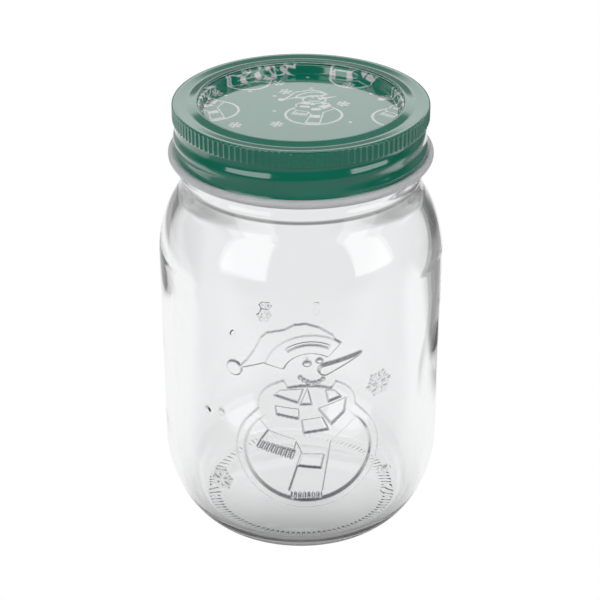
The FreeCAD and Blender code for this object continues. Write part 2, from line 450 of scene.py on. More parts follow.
def flake(x, y, centre, reach, thick):
    """Distance to a snowflake with six barbed arms."""
    distance = np.full(x.shape, np.inf)
    for turn in np.radians(range(10, 370, 60)):
        arm = np.array((math.cos(turn), math.sin(turn)))
        distance = join(distance, bar(x, y, centre, centre + arm * reach, thick))
        for lean in (-0.8, 0.8):
            barb = np.array((math.cos(turn + lean), math.sin(turn + lean)))
            fork = centre + arm * reach * 0.55
            distance = join(distance, bar(x, y, fork, fork + barb * reach * 0.38, thick * 0.8))
    return distance


# The snowman, drawn once about the middle of its body

HAT = (
    (-19.2, 27.0), (-17.2, 29.4), (-14.9, 33.1), (-13.0, 37.2), (-11.4, 38.9), (-6.6, 40.2), (-4.0, 41.8),
    (-1.0, 42.2), (2.5, 41.0), (6.4, 38.2), (7.6, 35.2), (3.0, 32.0), (-6.0, 31.0), (-12.0, 30.0),
)
SCARF = (
    (-13.9, 11.1), (-11.2, 7.8), (-3.8, 5.4), (-1.8, 0.7), (-5.5, -12.4), (3.8, -12.6), (6.1, 4.2),
    (13.7, 11.1), (10.4, 15.0), (-10.4, 15.0),
)
SHORT_END = ((-11.2, 7.8), (-3.4, 5.4), (-4.2, 2.0), (-13.4, 4.2))
STRIPES = (
    ((-9.3, 16.0), (-2.8, 15.2), (-2.8, 12.1), (-9.0, 13.3)),
    ((-2.0, 11.6), (3.7, 12.4), (5.5, 8.3), (-1.4, 7.4)),
    ((2.6, 15.3), (10.6, 18.0), (9.9, 13.4), (6.3, 9.9)),
    ((-9.6, 19.6), (-8.0, 21.2), (-1.6, 21.8), (-3.0, 17.4)),
    ((4.6, 21.2), (7.2, 20.8), (9.0, 18.6), (5.4, 17.4)),
    ((-1.8, 0.4), (4.3, 0.0), (3.5, -4.6), (-3.1, -3.6)),
)
KNOT = ((-2.4, 16.8), (-0.4, 22.0), (0.8, 16.8))
BRIM_MIDDLE = (0.3, 26.3)
FRINGE_RADIUS = 0.4


def short_fringe(x, y):
    """Distances to the threads at the short end of the scarf."""
    tops = [(-13.4 + 1.3 * k, 3.6 - 0.36 * k) for k in range(8)]
    tips = [(-14.4 + 1.35 * k, 1.4 - 0.36 * k) for k in range(8)]
    return [bar(x, y, top, tip, FRINGE_RADIUS) for top, tip in zip(tops, tips)]


def long_fringe(x, y):
    """Distances to the threads at the long end of the scarf."""
    return [bar(x, y, (-4.3 + 1.25 * k, -12.6), (-4.5 + 1.3 * k, -14.4), FRINGE_RADIUS) for k in range(7)]


def snowman(x, y):
    """Distances to the parts of a snowman, in the millimetres of the raised one."""
    mouth = [(-2.4 + 1.05 * k, 26.4 - 2.9 * math.sin(0.35 + 0.36 * k)) for k in range(7)]
    return SimpleNamespace(
        body=oval(x, y, (-0.1, 0.5), (18.3, 16.0)),
        head=oval(x, y, (0.4, 26.2), (7.6, 6.9)),
        crown=patch(x, y, HAT) - 0.3,
        brim=hoop(x, y, BRIM_MIDDLE, 9.8, 2.9, (-76, 42)),
        brim_fold=hoop(x, y, BRIM_MIDDLE, 10.2, 0.5, (-38, 30)),
        bobble=oval(x, y, (-21.3, 26.1), (2.3, 2.2)),
        eyes=join(oval(x, y, (-0.5, 29.8), (1.1, 0.8)), oval(x, y, (2.9, 30.6), (0.9, 0.7))),
        nose=bar(x, y, (4.4, 27.7), (14.7, 31.5), 1.7, 0.25),
        mouth=join(*[oval(x, y, coal, (0.5, 0.5)) for coal in mouth]),
        scarf=join(oval(x, y, (-0.5, 16.2), (11.2, 6.6)), patch(x, y, SCARF), patch(x, y, SHORT_END)),
        stripes=join(*[patch(x, y, stripe) for stripe in STRIPES]),
        knot=patch(x, y, KNOT),
        fringe=join(*short_fringe(x, y), *long_fringe(x, y)),
    )


# The raised picture. Places are the arc round from the front and the height

PICTURE_MIDDLE = (2.2, 40.0)
HALO_WIDTH = 2.5
HALO_LIFT, BODY_LIFT, HEAD_LIFT = 0.45, -0.25, -0.10
CROWN_LIFT, BRIM_LIFT, FOLD_LIFT = 0.50, 0.85, 0.35
SCARF_LIFT, STRIPE_LIFT, SMALL_LIFT, NOSE_LIFT = 0.60, -0.05, 0.65, 0.85
EDGE, BODY_EDGE, NOSE_EDGE, DOT_EDGE = 0.60, 0.9, 1.0, 0.8

# Place, reach and lift of each flake, and place and lift of each dot
WALL_FLAKES = (
    ((23.0, 59.9), 3.7, 0.40),
    ((-24.0, 27.2), 3.2, 0.40),
    ((-116.5, 42.3), 2.2, 0.40),
)
WALL_DOTS = (
    ((-28.8, 48.8), 0.45),
    ((-23.8, 49.9), 0.45),
    ((25.8, 29.8), 0.50),
    ((-104.0, 37.4), 0.35),
    ((123.8, 43.1), 0.35),
)
WALL_FLAKE_THICK = 0.36
WALL_DOT_REACH = (1.0, 1.0)


def raise_to(lift, distance, level, edge):
    """Bring what lies inside a shape to a level, over a straight flank of a given width."""
    return level + (lift - level) * np.clip(distance / edge + 0.5, 0.0, 1.0)


def wall_picture(around, height):
    """Lift of the raised picture on the wall, from the arc round from the front and the height."""
    part = snowman(around - PICTURE_MIDDLE[0], height - PICTURE_MIDDLE[1])
    lift = np.zeros(around.shape)
    lift = raise_to(lift, join(part.body, part.scarf) - HALO_WIDTH, HALO_LIFT, EDGE)
    lift = raise_to(lift, np.maximum(part.body, -part.scarf), BODY_LIFT, BODY_EDGE)
    lift = raise_to(lift, part.crown, CROWN_LIFT, EDGE)
    lift = raise_to(lift, part.brim, BRIM_LIFT, EDGE)
    lift = raise_to(lift, part.brim_fold, FOLD_LIFT, EDGE)
    lift = raise_to(lift, part.head, HEAD_LIFT, EDGE)
    lift = raise_to(lift, part.scarf, SCARF_LIFT, EDGE)
    lift = raise_to(lift, join(part.stripes, part.knot), STRIPE_LIFT, EDGE)
    for raised in (part.fringe, part.mouth, part.eyes, part.bobble):
        lift = raise_to(lift, raised, SMALL_LIFT, EDGE)
    lift = raise_to(lift, part.nose, NOSE_LIFT, NOSE_EDGE)
    for place, reach, level in WALL_FLAKES:
        shape = flake(around, height, np.array(place), reach, WALL_FLAKE_THICK)
        lift = raise_to(lift, shape, level, EDGE)
    for place, level in WALL_DOTS:
        lift = raise_to(lift, oval(around, height, place, WALL_DOT_REACH), level, DOT_EDGE)
    return lift


def flank_shade(around, height):
    """How much shade is painted on the flanks of the raised picture, from 0 to 1: most where they face up."""
    step = 0.1
    facing_up = (wall_picture(around, height - step) - wall_picture(around, height + step)) / (2 * step)
    aside = (wall_picture(around + step, height) - wall_picture(around - step, height)) / (2 * step)
    steepest = np.maximum.reduce([facing_up, -0.7 * facing_up, 0.6 * np.abs(aside)])
    return smooth(steepest, 0.1, 0.9)


# The glass jar

JAR_COLUMNS = 180
HEEL_POWER, SHOULDER_POWER, INNER_POWER = 1.147, 1.183, 1.18
BEAD_EDGE = 0.15
RIPPLE = 0.06

# How finely the picture's edges are cut, and how many rows of the shoulder it may reach into
PICTURE_CUT = 6
PICTURE_MARGIN = 4

# Bars under the base: their count and cut, the turns from the front over which they fade, and by how much
STIPPLE_BARS = 104
STIPPLE_CUT = 6
STIPPLE_FADE = (1.5, 2.2)
STIPPLE_LOSS = 0.8

# Turns from the start of the thread over which its ends fade, in radians, and half its width on the glass
THREAD_FADE_IN, THREAD_FADE_OUT = (0.0, 0.6), (7.0, 7.6)
GLASS_THREAD_HALF = 1.3


def jar_outline(size):
    """The section of the jar, from under the base up the outside and down the inside."""
    pen = Outline(0.0, size.push_up)
    for t in np.linspace(0, 1, 19)[1:]:
        pen.points.append((size.foot_inner * t, size.push_up * (1 - t ** 2)))
    pen.mark("foot")
    pen.line(size.foot_outer, 0.0, step=0.5)
    pen.mark("heel")
    reach = JAR_RADIUS - size.foot_outer
    pen.quarter((size.foot_outer, size.heel_top), (reach, size.heel_top), HEEL_POWER, (-90, 0), 26)
    pen.line(JAR_RADIUS, size.wall_top, step=1.43)
    pen.mark("shoulder")
    reach = (JAR_RADIUS - size.shoulder_base, size.shoulder_rise)
    pen.quarter((size.shoulder_base, size.wall_top), reach, SHOULDER_POWER, (0, 59), 26)
    pen.bend((size.neck, pen.points[-1][1] + 1.6), (size.neck, size.neck_low), count=10)
    pen.line(size.neck, size.bead_low - BEAD_EDGE)
    pen.line(size.bead, size.bead_low + BEAD_EDGE)
    pen.line(size.bead, size.bead_high - BEAD_EDGE)
    pen.line(size.neck, size.bead_high + BEAD_EDGE)
    pen.line(size.neck, size.neck_high)
    pen.bend((size.neck, size.finish_low), (size.finish, size.finish_low))
    pen.mark("finish")
    pen.line(size.finish, JAR_TOP - size.rim_round, step=0.5)
    pen.mark("rim")
    pen.bend((size.finish, JAR_TOP), (size.finish - size.rim_round, JAR_TOP))
    pen.line(size.mouth + size.rim_round, JAR_TOP)
    pen.bend((size.mouth, JAR_TOP), (size.mouth, JAR_TOP - size.rim_round))
    pen.line(size.mouth, size.bore_low)
    pen.bend((size.mouth, size.bore_corner), (size.inner_top_radius, size.inner_top), count=12)
    pen.mark("inside")
    reach = (size.inner_wall - size.inner_base, size.inner_rise)
    pen.quarter((size.inner_base, size.wall_top), reach, INNER_POWER, (55, 0), 20)
    pen.line(size.inner_wall, size.inner_heel, step=3.0)
    reach = (size.inner_wall - size.floor_radius, size.inner_heel - size.floor)
    pen.quarter((size.floor_radius, size.inner_heel), reach, 1.0, (0, -90), 22)
    pen.mark("inner floor")
    pen.line(0.0, size.floor + size.floor_crown)
    return pen


def thread_lift(turn, height, band, half_width):
    """Height of a thread over the surface, from 0 to 1. It runs over one turn and fades at its ends."""
    lift = np.zeros(turn.shape)
    for lap in (-1, 0, 1, 2):
        wound = turn - band.thread_start + lap * math.tau
        middle = band.thread_low + band.pitch * wound / math.tau
        ends = smooth(wound, *THREAD_FADE_IN) * (1 - smooth(wound, *THREAD_FADE_OUT))
        lift = np.maximum(lift, ends * (1 - smooth(np.abs(height - middle), 0.0, half_width)))
    return lift


def stipple_lift(turn, depth):
    """Lift of the bars under the base, which get shallow towards the back."""
    bars = smooth(np.cos(STIPPLE_BARS * turn), -0.4, 0.4)
    kept = 1 - STIPPLE_LOSS * smooth(np.abs(signed(turn)), *STIPPLE_FADE)
    return -depth * kept * (1 - bars)


def inner_ripple(turn, height):
    """Lift of the uneven glass inside the wall, which fades towards the floor and the neck."""
    waves = (np.sin(3 * turn + 0.09 * height) + np.sin(5 * turn - 0.13 * height + 1.0)
             + np.sin(2 * turn + 0.2 * height + 2.0))
    return RIPPLE * waves * smooth(height, 8.0, 30.0) * (1 - smooth(height, 92.0, 103.0))


def picture_rows(row, marks):
    """Which rows of the jar carry the raised picture."""
    return (row > marks["heel"]) & (row < marks["shoulder"] + PICTURE_MARGIN)


def jar_swell(size, band, marks):
    """Lift of the jar's surface: bars, the raised picture, the glass thread and uneven inner glass."""
    def swell(turn, row, height):
        lift = np.zeros(turn.shape)
        foot = (row > marks["foot"] + 0.5) & (row < marks["heel"] - 0.5)
        lift[foot] = stipple_lift(turn[foot], size.stipple_depth)
        wall = picture_rows(row, marks)
        lift[wall] = wall_picture(signed(turn[wall]) * JAR_RADIUS, height[wall])
        finish = (row >= marks["finish"]) & (row <= marks["rim"])
        thread = thread_lift(turn[finish], height[finish], band, GLASS_THREAD_HALF)
        lift[finish] = size.thread_height * thread
        inside = (row > marks["inside"]) & (row < marks["inner floor"])
        lift[inside] = inner_ripple(turn[inside], height[inside])
        return lift
    return swell


def jar_split(outline):
    """Cut the cells finely that hold an edge of the raised picture or the bars under the base."""
    section, marks = np.array(outline.points), outline.marks

    def split(splits):
        turn = signed((np.arange(JAR_COLUMNS) + 0.5) / JAR_COLUMNS * math.tau)
        for row in range(marks["heel"], marks["shoulder"] + PICTURE_MARGIN):
            low, high = section[row, 1], section[row + 1, 1]
            around = (turn[:, None, None] + PROBES[:, None] * math.tau / JAR_COLUMNS) * JAR_RADIUS
            height = (low + high) / 2 + PROBES[None, :] * (high - low)
            around, height = np.broadcast_arrays(around, height)
            busy = np.ptp(wall_picture(around, height), axis=(1, 2)) > BUSY
            splits[row, busy] = PICTURE_CUT
        splits[marks["foot"]:marks["heel"]] = (STIPPLE_CUT, 1)
    return split


def make_jar():
    """Shape the glass and put it in place."""
    size, band = sizes("lidded_jar_glass"), sizes("lidded_jar_band")
    outline = jar_outline(size)
    swell = jar_swell(size, band, outline.marks)
    mesh, _, turn, row = weave("glass_jar_wall", outline, JAR_COLUMNS, jar_split(outline), swell)
    section = np.array(outline.points)
    wall = picture_rows(row, outline.marks)
    height = np.interp(row[wall], np.arange(len(section)), section[:, 1])
    # Painted shade on the picture's flanks, kept as a point attribute that darkens the glass colour
    shade = np.zeros(len(row), np.float32)
    shade[wall] = flank_shade(signed(turn[wall]) * JAR_RADIUS, height)
    mesh.attributes.new("flank", "FLOAT", "POINT").data.foreach_set("value", shade)
    add_piece("glass_jar_wall", mesh, "jar", "glass_jar", [clear_glass()])


# The lid disc and its print

DISC_COLUMNS = 180

# How finely an inked cell is cut, and the sizes from which it is
PRINT_CUT, NARROW_CUT = 4, 2
WIDE_CELL, NARROW_CELL, LONG_CELL = 0.6, 0.25, 0.5

# Half widths of a printed snowman's lines and how far it reaches, in the millimetres of the raised one
FIGURE_LINE, BODY_LINE, SCARF_LINE = 0.62, 0.8, 0.45
FIGURE_REACH = 50

# Reach and half width of a printed flake, reach of a dot, and half the soft edge of the ink
PRINTED_FLAKE = (1.8, 0.2)
PRINTED_DOT = (0.5, 0.5)
INK_EDGE = 0.1

# Place of each printed snowman on the flat sheet, and its turn in degrees
PRINTED_FIGURES = (
    ((3.6, -3.6), 0),
    ((-25.0, -0.8), 25),
    ((27.5, -5.8), -20),
    ((-16.2, 22.3), -51),
    ((15.2, 24.2), -97),
    ((-8.0, -35.0), 40),
    ((17.0, -33.0), -75),
)
PRINTED_FLAKES = (
    (-6.5, 20.2), (13.7, 18.6), (-6.7, -9.9), (11.9, 4.6), (-18.0, -10.5), (-4.4, 13.6), (24.0, 9.0),
    (-24.0, 12.0),
)
PRINTED_DOTS = (
    (3.0, 16.2), (-7.5, 10.3), (-7.4, -0.7), (13.6, -8.6), (-21.3, 10.6), (-14.5, 13.8), (2.0, 24.5),
    (20.0, 12.0),
)


def figure_ink(x, y):
    """Distance to the printed lines of a snowman."""
    part = snowman(x, y)
    bare = join(part.scarf, part.head, part.crown)
    rings = join(np.maximum(np.abs(part.body) - BODY_LINE, -bare), np.abs(part.head) - FIGURE_LINE)
    hat = np.maximum(join(np.abs(part.crown), np.abs(part.brim)) - FIGURE_LINE, -part.nose)
    scarf = join(np.abs(part.scarf) - SCARF_LINE, part.stripes, part.knot, part.fringe)
    return join(rings, hat, scarf, part.nose, part.mouth, part.eyes, part.bobble)


def print_ink(x, y, scale):
    """How much ink lies on the flat sheet, from 0 to 1."""
    distance = np.full(x.shape, np.inf)
    for (middle_x, middle_y), lean in PRINTED_FIGURES:
        cos, sin = math.cos(math.radians(lean)), math.sin(math.radians(lean))
        across, up = (x - middle_x) / scale, (y - middle_y) / scale
        near = np.hypot(across, up) < FIGURE_REACH
        turned = figure_ink((across * cos + up * sin)[near], (up * cos - across * sin)[near])
        distance[near] = join(distance[near], turned * scale)
    for place in PRINTED_FLAKES:
        distance = join(distance, flake(x, y, np.array(place), *PRINTED_FLAKE))
    for place in PRINTED_DOTS:
        distance = join(distance, oval(x, y, place, PRINTED_DOT))
    return 1 - smooth(distance, -INK_EDGE, INK_EDGE)


def disc_outline(size):
    """The section of the stamped disc, from under its panel out to the lip and back over the top."""
    sheet, ring, panel_top = size.sheet, size.ring, DISC_FOOT + size.sheet
    pen = Outline(0.0, DISC_FOOT)
    pen.line(size.panel - 0.4, DISC_FOOT, step=4.0)
    pen.bend((size.panel + sheet, DISC_FOOT), (size.panel + sheet + 0.15, DISC_FOOT + 0.7))
    pen.line(size.panel + sheet + 0.4, ring - sheet - 0.3)
    pen.bend((size.panel + sheet + 0.5, ring - sheet), (size.ring_inner + 0.4, ring - sheet))
    pen.line(DISC_RADIUS - sheet - 0.15, ring - sheet)
    pen.bend((DISC_RADIUS - sheet, ring - sheet), (DISC_RADIUS - sheet, size.lip_low))
    pen.line(DISC_RADIUS, size.lip_low)
    pen.bend((DISC_RADIUS, ring), (DISC_RADIUS - 0.5, ring))
    pen.mark("top")
    pen.line(size.ring_inner + 0.3, ring, step=0.9)
    pen.bend((size.panel + 0.55, ring), (size.panel + 0.4, ring - 0.6), 4)
    pen.line(size.panel + 0.1, panel_top + 0.6, step=0.9)
    pen.bend((size.panel, panel_top), (size.panel - 0.6, panel_top), 4)
    pen.line(0.0, panel_top, step=0.9)
    return pen


def print_cuts(width, span):
    """How many parts an inked cell is cut into, round and outward."""
    across = 1
    if width > NARROW_CELL:
        across = NARROW_CUT
    if width > WIDE_CELL:
        across = PRINT_CUT
    return across, PRINT_CUT if span > LONG_CELL else 1


def make_disc():
    """Stamp the disc and print it while it is flat."""
    size = sizes("lidded_jar_lid")
    outline = disc_outline(size)
    along = outline.along()
    reach = along[-1] - along
    top = outline.marks["top"]

    def split(splits):
        turn = (np.arange(DISC_COLUMNS) + 0.5) / DISC_COLUMNS * math.tau
        for row in range(top, len(reach) - 1):
            middle, span = (reach[row] + reach[row + 1]) / 2, reach[row] - reach[row + 1]
            round_turn = turn[:, None, None] + PROBES[:, None] * math.tau / DISC_COLUMNS
            flat = middle + PROBES[None, :] * span
            ink = print_ink(flat * np.sin(round_turn), -flat * np.cos(round_turn), size.print_scale)
            inked = ink.max(axis=(1, 2)) > BUSY
            splits[row, inked] = print_cuts(middle * math.tau / DISC_COLUMNS, span)

    mesh, _, turn, row = weave("lid_disc_sheet", outline, DISC_COLUMNS, split)
    flat = np.interp(row, np.arange(len(reach)), reach)
    ink = print_ink(flat * np.sin(turn), -flat * np.cos(turn), size.print_scale)
    layer = mesh.attributes.new("ink", "FLOAT", "POINT")
    layer.data.foreach_set("value", np.where(row >= top, ink, 0.0).astype(np.float32))
    add_piece("lid_disc_sheet", mesh, "lid", "lid_disc", [printed_lacquer()])


def make_seal():
    """Pour the sealing ring into the channel under the disc's rim."""
    size = sizes("lidded_jar_lid")
    top = size.ring - size.sheet - 0.05
    pen = Outline(size.seal_inner + 0.1, size.seal_low)
    pen.line(SEAL_RADIUS - 0.1, size.seal_low, step=0.5)
    pen.bend((SEAL_RADIUS, size.seal_low), (SEAL_RADIUS, size.seal_low + 0.1), 3)
    pen.line(SEAL_RADIUS, top - 0.1)
    pen.bend((SEAL_RADIUS, top), (SEAL_RADIUS - 0.1, top), 3)
    pen.line(size.seal_inner + 0.1, top, step=0.5)
    pen.bend((size.seal_inner, top), (size.seal_inner, top - 0.1), 3)
    pen.line(size.seal_inner, size.seal_low + 0.1)
    mesh = weave("sealing_ring_bead", pen, DISC_COLUMNS, closed=True)[0]
    add_piece("sealing_ring_bead", mesh, "lid", "sealing_ring", [seal_compound()])


# The screw band

BAND_COLUMNS = 252

# Flutes: how finely cut, how many rows below the belt they start, and how round their hollows are
FLUTE_CUT = 4
FLUTE_LEAD = 6
FLUTE_SHAPE = 0.7

# Rolled thread: half its width, where it starts above the band's foot, and the heights over which it ends
ROLLED_THREAD_HALF = 2.6
SKIRT_START = (1.9, 2.9)
SKIRT_END = (124.4, 125.4)


def band_outline(size):
    """The section of the band, round its curl, up the outside, over the flange and down the inside."""
    sheet, curl = size.sheet, size.curl
    curl_middle = (BAND_RADIUS - curl, BAND_FOOT + curl - size.curl_drop)
    pen = Outline(curl_middle[0] - curl, curl_middle[1])
    pen.quarter(curl_middle, (curl, curl), 1.0, (180, 490), 28)
    pen.mark("crease")
    pen.bend((size.skirt, pen.points[-1][1] + 0.1), (size.skirt, size.skirt_low), 4)
    pen.line(size.skirt, size.belt_low - 1.1, step=0.35)
    pen.mark("neck")
    pen.bend((size.skirt, size.belt_low - 0.45), ((size.skirt + size.belt) / 2, size.belt_low - 0.4), 4)
    pen.bend((size.belt, size.belt_low - 0.35), (size.belt, size.belt_low), 4)
    pen.mark("belt")
    pen.line(size.belt, size.corner - 0.6, step=0.34)
    pen.bend((size.belt, size.corner), (size.belt - 0.75, size.corner), 6)
    pen.mark("shoulder")
    pen.line(size.belt - 1.2, size.corner)
    rise = (size.corner - size.valley_height) / (size.belt - 1.2 - size.valley)
    pen.line(size.valley + 0.5, size.valley_height + 0.5 * rise, step=0.5)
    fall = (BAND_TOP - size.valley_height) / (size.valley - size.hole - 0.6)
    pen.bend((size.valley, size.valley_height), (size.valley - 0.5, size.valley_height + 0.5 * fall), 5)
    pen.line(size.hole + 0.75, BAND_TOP - 0.15 * fall, step=0.5)
    pen.bend((size.hole + 0.6, BAND_TOP), (size.hole + 0.35, BAND_TOP - 0.02), 3)
    pen.bend((size.hole, BAND_TOP - 0.05), (size.hole, BAND_TOP - 0.35), 4)
    pen.mark("hole")
    pen.bend((size.hole, BAND_TOP - 0.75), (size.hole + 0.4, BAND_TOP - 0.75), 4)
    pen.line(size.valley, size.valley_height - sheet)
    pen.line(size.belt - 1.2, size.corner - sheet)
    pen.bend((size.belt - sheet - 0.3, size.corner - sheet), (size.belt - sheet - 0.3, size.corner - 1.2), 4)
    pen.line(size.belt - sheet - 0.3, size.belt_low)
    pen.line(size.skirt - sheet, size.belt_low - 1.1)
    pen.mark("inside")
    pen.line(size.skirt - sheet, size.skirt_low, step=0.5)
    pen.mark("inside low")
    pen.line(curl_middle[0] - curl, curl_middle[1] + 0.4)
    return pen


def flute_lift(turn, height, size):
    """Lift of the hollows between the ribs, which end in an arch under the corner."""
    phase = np.abs(np.sin(size.flutes / 2 * turn))
    arch = size.corner - 0.1 - 0.5 * (1 - phase)
    reach = smooth(height, size.belt_low - 0.7, size.belt_low - 0.2) * (1 - smooth(height, arch - 0.35, arch))
    return -size.flute_depth * phase ** FLUTE_SHAPE * reach


def band_swell(size, marks):
    """Lift of the band's sheet: flutes between the ribs and the rolled thread, seen from both sides."""
    def swell(turn, row, height):
        lift = np.zeros(turn.shape)
        belt = (row >= marks["belt"] - FLUTE_LEAD) & (row <= marks["shoulder"])
        lift[belt] = flute_lift(turn[belt], height[belt], size)
        fade = smooth(height - BAND_FOOT, *SKIRT_START) * (1 - smooth(height, *SKIRT_END))
        rolled = size.bulge * thread_lift(turn, height, size, ROLLED_THREAD_HALF) * fade
        outside = (row >= marks["crease"]) & (row <= marks["neck"])
        lift[outside] = rolled[outside]
        inside = (row >= marks["inside"]) & (row <= marks["inside low"])
        lift[inside] = -rolled[inside]
        return lift
    return swell


def make_band():
    """Roll the band from its sheet and lacquer the outside."""
    size = sizes("lidded_jar_band")
    outline = band_outline(size)
    marks = outline.marks

    def split(splits):
        splits[marks["belt"] - FLUTE_LEAD:marks["shoulder"]] = (FLUTE_CUT, 1)

    swell = band_swell(size, marks)
    mesh, face_rows, _, _ = weave("screw_band_shell", outline, BAND_COLUMNS, split, swell, closed=True)
    pale = (face_rows < marks["crease"]) | (face_rows >= marks["hole"])
    mesh.polygons.foreach_set("material_index", pale.astype(np.int32))
    add_piece("screw_band_shell", mesh, "band", "screw_band", [green_lacquer(), pale_coat()])


# Materials

def set_input(tree, socket, value):
    """Link an input to a socket, or set it to any other value."""
    if isinstance(value, bpy.types.NodeSocket):
        tree.links.new(value, socket)
    else:
        socket.default_value = value


def add_node(tree, kind, inputs=None, **settings):
    """Add a node with its settings and its inputs."""
    node = tree.nodes.new(kind)
    for key, value in settings.items():
        setattr(node, key, value)
    for key, value in (inputs or {}).items():
        set_input(tree, node.inputs[key], value)
    return node


def opaque(value):
    """A colour with full alpha."""
    return (*value, 1.0)


def new_material(name):
    """An empty node material, with its tree and its Principled shader."""
    material = bpy.data.materials.new(name)
    material.use_nodes = True
    return material, material.node_tree, material.node_tree.nodes["Principled BSDF"]


def skin_group():
    """Shared surface of coats and glass: soft waves, a slow change of tone and sparse specks."""
    name = "coat_skin"
    if name in bpy.data.node_groups:
        return bpy.data.node_groups[name]
    tree = bpy.data.node_groups.new(name, "ShaderNodeTree")
    for socket in ("Wave Scale", "Tone Scale", "Speck Scale"):
        tree.interface.new_socket(socket, in_out="INPUT", socket_type="NodeSocketFloat")
    for socket in ("Height", "Tone", "Speck"):
        tree.interface.new_socket(socket, in_out="OUTPUT", socket_type="NodeSocketFloat")
    given = add_node(tree, "NodeGroupInput").outputs
    place = add_node(tree, "ShaderNodeTexCoord").outputs["Object"]
    wave = add_node(tree, "ShaderNodeTexNoise",
                    {"Vector": place, "Scale": given["Wave Scale"], "Detail": 2.0})
    tone = add_node(tree, "ShaderNodeTexNoise",
                    {"Vector": place, "Scale": given["Tone Scale"], "Detail": 4.0})
    cells = add_node(tree, "ShaderNodeTexVoronoi", {"Vector": place, "Scale": given["Speck Scale"]})
    speck = add_node(tree, "ShaderNodeMapRange",
                     {"Value": cells.outputs["Distance"], "From Min": 0.06, "From Max": 0.03})
    results = {"Height": wave.outputs["Fac"], "Tone": tone.outputs["Fac"], "Speck": speck.outputs["Result"]}
    add_node(tree, "NodeGroupOutput", results)
    return tree


def add_skin(tree, wave_scale, tone_scale, speck_scale):
    """Place the shared surface in a material with its own scales."""
    skin = add_node(tree, "ShaderNodeGroup", node_tree=skin_group())
    skin.inputs["Wave Scale"].default_value = wave_scale
    skin.inputs["Tone Scale"].default_value = tone_scale
    skin.inputs["Speck Scale"].default_value = speck_scale
    return skin.outputs


def add_bump(tree, height, distance, strength):
    """A bump normal from a height."""
    inputs = {"Height": height, "Distance": distance, "Strength": strength}
    return add_node(tree, "ShaderNodeBump", inputs).outputs["Normal"]


# A Mix node has several sockets of the same name, so those for colours go by number
MIX_FIRST, MIX_SECOND, MIX_RESULT = 6, 7, 2


def mix_colours(tree, factor, first, second):
    """The colour between two by a factor."""
    mix = add_node(tree, "ShaderNodeMix", {"Factor": factor}, data_type="RGBA")
    for key, value in ((MIX_FIRST, first), (MIX_SECOND, second)):
        set_input(tree, mix.inputs[key], value)
    return mix.outputs[MIX_RESULT]


def fit_range(tree, value, low, high):
    """A value from 0 to 1 brought to a range."""
    inputs = {"Value": value, "To Min": low, "To Max": high}
    return add_node(tree, "ShaderNodeMapRange", inputs).outputs["Result"]


def clear_glass():
    """Clear soda glass, a little wavy, with painted shade that darkens its colour on the flanks of its raised
    picture.
    """
    material, tree, shader = new_material("clear_glass")
    skin = add_skin(tree, 45.0, 12.0, 160.0)
    finish = bpy.context.scene.lidded_jar_finish
    flank = add_node(tree, "ShaderNodeAttribute", attribute_name="flank").outputs["Fac"]
    # Painted shade: the glass colour goes towards the flank colour where the flank attribute is high
    tinted = mix_colours(tree, flank, opaque(finish.glass), opaque(finish.flank))
    tree.links.new(tinted, shader.inputs["Base Color"])
    shader.inputs["Roughness"].default_value = 0.0
    shader.inputs["IOR"].default_value = 1.5
    shader.inputs["Transmission Weight"].default_value = 1.0
    tree.links.new(add_bump(tree, skin["Height"], 0.0002, 0.25), shader.inputs["Normal"])
    return material


WORN_SPECK = (0.5, 0.55, 0.53)


def lacquer_base(name):
    """Glossy green lacquer over sheet: the material, its tree, its shader, the green and the skin."""
    material, tree, shader = new_material(name)
    green = bpy.context.scene.lidded_jar_finish.green
    skin = add_skin(tree, 900.0, 60.0, 260.0)
    deep = opaque([part * 0.86 for part in green])
    tinted = mix_colours(tree, skin["Tone"], deep, opaque([part * 1.14 for part in green]))
    shader.inputs["IOR"].default_value = 1.5
    shader.inputs["Coat Weight"].default_value = 1.0
    shader.inputs["Coat Roughness"].default_value = 0.02
    shader.inputs["Coat IOR"].default_value = 1.7
    tree.links.new(fit_range(tree, skin["Tone"], 0.10, 0.16), shader.inputs["Roughness"])
    tree.links.new(add_bump(tree, skin["Height"], 0.00002, 0.15), shader.inputs["Normal"])
    return material, tree, shader, tinted, skin


def green_lacquer():
    """The band's outside, with a few worn specks."""
    material, tree, shader, tinted, skin = lacquer_base("green_lacquer")
    worn = mix_colours(tree, skin["Speck"], tinted, opaque(WORN_SPECK))
    tree.links.new(worn, shader.inputs["Base Color"])
    return material


def printed_lacquer():
    """The disc's lacquer with a white line print."""
    material, tree, shader, tinted, _ = lacquer_base("printed_lacquer")
    ink = add_node(tree, "ShaderNodeAttribute", attribute_name="ink").outputs["Fac"]
    printed = mix_colours(tree, ink, tinted, opaque(bpy.context.scene.lidded_jar_finish.ink))
    tree.links.new(printed, shader.inputs["Base Color"])
    return material


def plain_coat(name, tint, scales, deep, roughness, bump):
    """A coat whose tone and roughness change slowly, with a fine bump."""
    material, tree, shader = new_material(name)
    skin = add_skin(tree, *scales)
    tinted = mix_colours(tree, skin["Tone"], opaque([part * deep for part in tint]), opaque(tint))
    tree.links.new(tinted, shader.inputs["Base Color"])
    tree.links.new(fit_range(tree, skin["Tone"], *roughness), shader.inputs["Roughness"])
    tree.links.new(add_bump(tree, skin["Height"], *bump), shader.inputs["Normal"])
    return material


def pale_coat():
    """The pale coat inside the band and on its curl."""
    tint = bpy.context.scene.lidded_jar_finish.pale_coat
    return plain_coat("pale_coat", tint, (700.0, 80.0, 400.0), 0.9, (0.28, 0.40), (0.00003, 0.2))


def seal_compound():
    """The matt compound of the sealing ring."""
    tint = bpy.context.scene.lidded_jar_finish.compound
    return plain_coat("seal_compound", tint, (1500.0, 150.0, 700.0), 0.8, (0.55, 0.75), (0.00005, 0.4))


# Camera, floor and light

